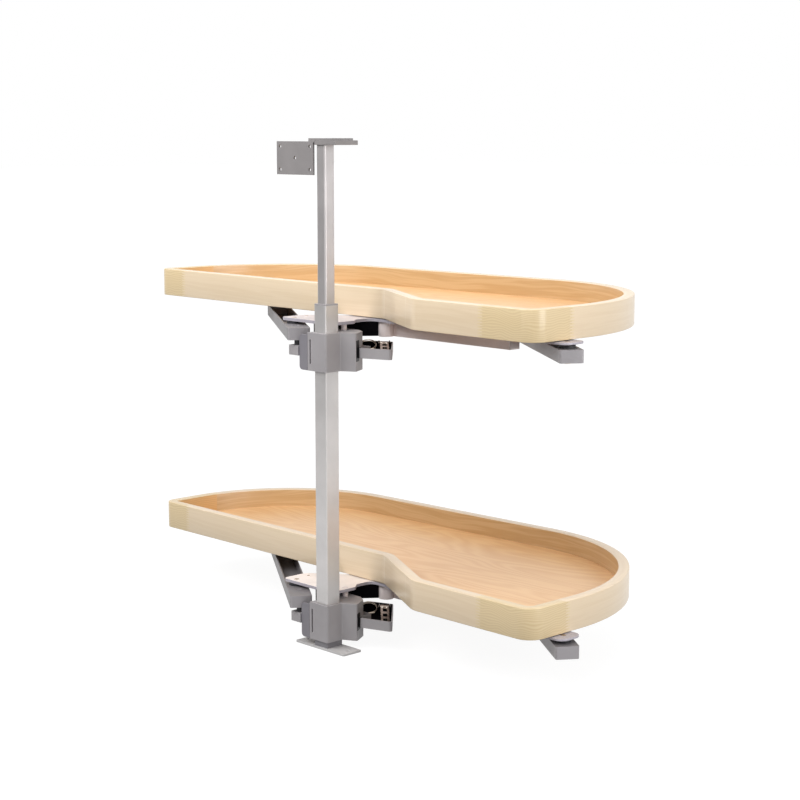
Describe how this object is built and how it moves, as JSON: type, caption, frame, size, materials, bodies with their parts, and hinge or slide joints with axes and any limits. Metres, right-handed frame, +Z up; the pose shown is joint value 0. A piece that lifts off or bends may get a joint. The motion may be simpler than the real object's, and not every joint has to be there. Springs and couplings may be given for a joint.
{
  "type": "two-tier lazy susan",
  "caption": "Pair of kidney-shaped wooden corner-cabinet trays that swing out and glide on linked arms, clamped to a telescopic square post with a soft-close unit on each tier.",
  "frame": {"origin": "on the post's axis at the underside of the base plate", "axes": "+Z up along the post, +X along the trays towards their wide lobe, +Y into the cabinet from the post towards the trays' back"},
  "size_m": [0.9583, 0.4511, 0.75],
  "materials": {
    "maple_rim": "satin",
    "maple_floor": "satin",
    "grey_paint": "satin",
    "post_paint": "satin",
    "bright_steel": "brushed",
    "black_plastic": "matte"
  },
  "bodies": {
    "post": {"base_plate": "grey_paint", "post_foot": "grey_paint", "outer_tube": "post_paint", "guide_bush": "grey_paint", "lower_clamp": "grey_paint", "lower_clamp_bracket": "grey_paint", "lower_main_pivot": "bright_steel", "lower_arm_rest": "black_plastic", "lower_soft_close_housing": "grey_paint", "lower_soft_close_spring": "bright_steel"},
    "top_post": {"inner_tube": "post_paint", "top_cap": "grey_paint", "top_bracket": "grey_paint"},
    "upper_clamp": {"upper_clamp": "grey_paint", "upper_clamp_bracket": "grey_paint", "upper_main_pivot": "bright_steel", "upper_arm_rest": "black_plastic", "upper_soft_close_housing": "grey_paint", "upper_soft_close_spring": "bright_steel"},
    "lower_carrier": {"lower_swivel_plate": "grey_paint", "lower_hub_shell": "black_plastic", "lower_support_rail": "grey_paint", "lower_end_plate": "grey_paint", "lower_arm_pins": "bright_steel"},
    "lower_inner_arm": {"lower_inner_arm": "grey_paint", "lower_inner_arm_bushes": "black_plastic"},
    "lower_outer_arm": {"lower_outer_arm": "grey_paint", "lower_outer_arm_bushes": "black_plastic"},
    "lower_tray": {"lower_left_corner_block": "maple_rim", "lower_front_board": "maple_rim", "lower_right_corner_block": "maple_rim", "lower_back_board": "maple_rim", "lower_floor_panel": "maple_floor", "lower_tray_pads": "grey_paint", "lower_tray_pins": "bright_steel"},
    "lower_catch": {"lower_catch": "bright_steel"},
    "upper_carrier": {"upper_swivel_plate": "grey_paint", "upper_hub_shell": "black_plastic", "upper_support_rail": "grey_paint", "upper_end_plate": "grey_paint", "upper_arm_pins": "bright_steel"},
    "upper_inner_arm": {"upper_inner_arm": "grey_paint", "upper_inner_arm_bushes": "black_plastic"},
    "upper_outer_arm": {"upper_outer_arm": "grey_paint", "upper_outer_arm_bushes": "black_plastic"},
    "upper_tray": {"upper_left_corner_block": "maple_rim", "upper_front_board": "maple_rim", "upper_right_corner_block": "maple_rim", "upper_back_board": "maple_rim", "upper_floor_panel": "maple_floor", "upper_tray_pads": "grey_paint", "upper_tray_pins": "bright_steel"},
    "upper_catch": {"upper_catch": "bright_steel"}
  },
  "joints": [
    {"name": "post_height", "type": "slide", "parent": "post", "child": "top_post", "axis": [0, 0, 1], "range_m": [-0.08, 0.08]},
    {"name": "upper_clamp_height", "type": "slide", "parent": "post", "child": "upper_clamp", "axis": [0, 0, 1], "range_m": [-0.12, 0.03]},
    {"name": "lower_carrier_swing", "type": "hinge", "parent": "post", "child": "lower_carrier", "pos_m": [-0.011, 0.044, 0.064], "axis": [0, 0, 1], "range_deg": [-85, 0]},
    {"name": "lower_inner_arm_swing", "type": "hinge", "parent": "lower_carrier", "child": "lower_inner_arm", "pos_m": [-0.101, 0.025, 0.064], "axis": [0, 0, 1], "range_deg": [-84, 0]},
    {"name": "lower_outer_arm_swing", "type": "hinge", "parent": "lower_carrier", "child": "lower_outer_arm", "pos_m": [0.3849, 0.0881, 0.064], "axis": [0, 0, 1], "range_deg": [-84, 0]},
    {"name": "lower_tray_glide", "type": "hinge", "parent": "lower_inner_arm", "child": "lower_tray", "pos_m": [-0.34705, 0.19664, 0.064], "axis": [0, 0, 1], "range_deg": [0, 84]},
    {"name": "lower_catch_tilt", "type": "hinge", "parent": "post", "child": "lower_catch", "pos_m": [0.016, 0.1, 0.0462], "axis": [0.6691, 0.7431, 0], "range_deg": [-7, 0], "stiffness_Nm_per_rad": 0.05},
    {"name": "upper_carrier_swing", "type": "hinge", "parent": "upper_clamp", "child": "upper_carrier", "pos_m": [-0.011, 0.044, 0.467], "axis": [0, 0, 1], "range_deg": [-85, 0]},
    {"name": "upper_inner_arm_swing", "type": "hinge", "parent": "upper_carrier", "child": "upper_inner_arm", "pos_m": [-0.101, 0.025, 0.467], "axis": [0, 0, 1], "range_deg": [-84, 0]},
    {"name": "upper_outer_arm_swing", "type": "hinge", "parent": "upper_carrier", "child": "upper_outer_arm", "pos_m": [0.3849, 0.0881, 0.467], "axis": [0, 0, 1], "range_deg": [-84, 0]},
    {"name": "upper_tray_glide", "type": "hinge", "parent": "upper_inner_arm", "child": "upper_tray", "pos_m": [-0.34705, 0.19664, 0.467], "axis": [0, 0, 1], "range_deg": [0, 84]},
    {"name": "upper_catch_tilt", "type": "hinge", "parent": "upper_clamp", "child": "upper_catch", "pos_m": [0.016, 0.1, 0.4492], "axis": [0.6691, 0.7431, 0], "range_deg": [-7, 0], "stiffness_Nm_per_rad": 0.05}
  ],
  "couplings": [
    {"joint": "lower_outer_arm_swing", "follows": "lower_inner_arm_swing", "ratio": 1},
    {"joint": "lower_tray_glide", "follows": "lower_inner_arm_swing", "ratio": -1},
    {"joint": "upper_outer_arm_swing", "follows": "upper_inner_arm_swing", "ratio": 1},
    {"joint": "upper_tray_glide", "follows": "upper_inner_arm_swing", "ratio": -1}
  ]
}
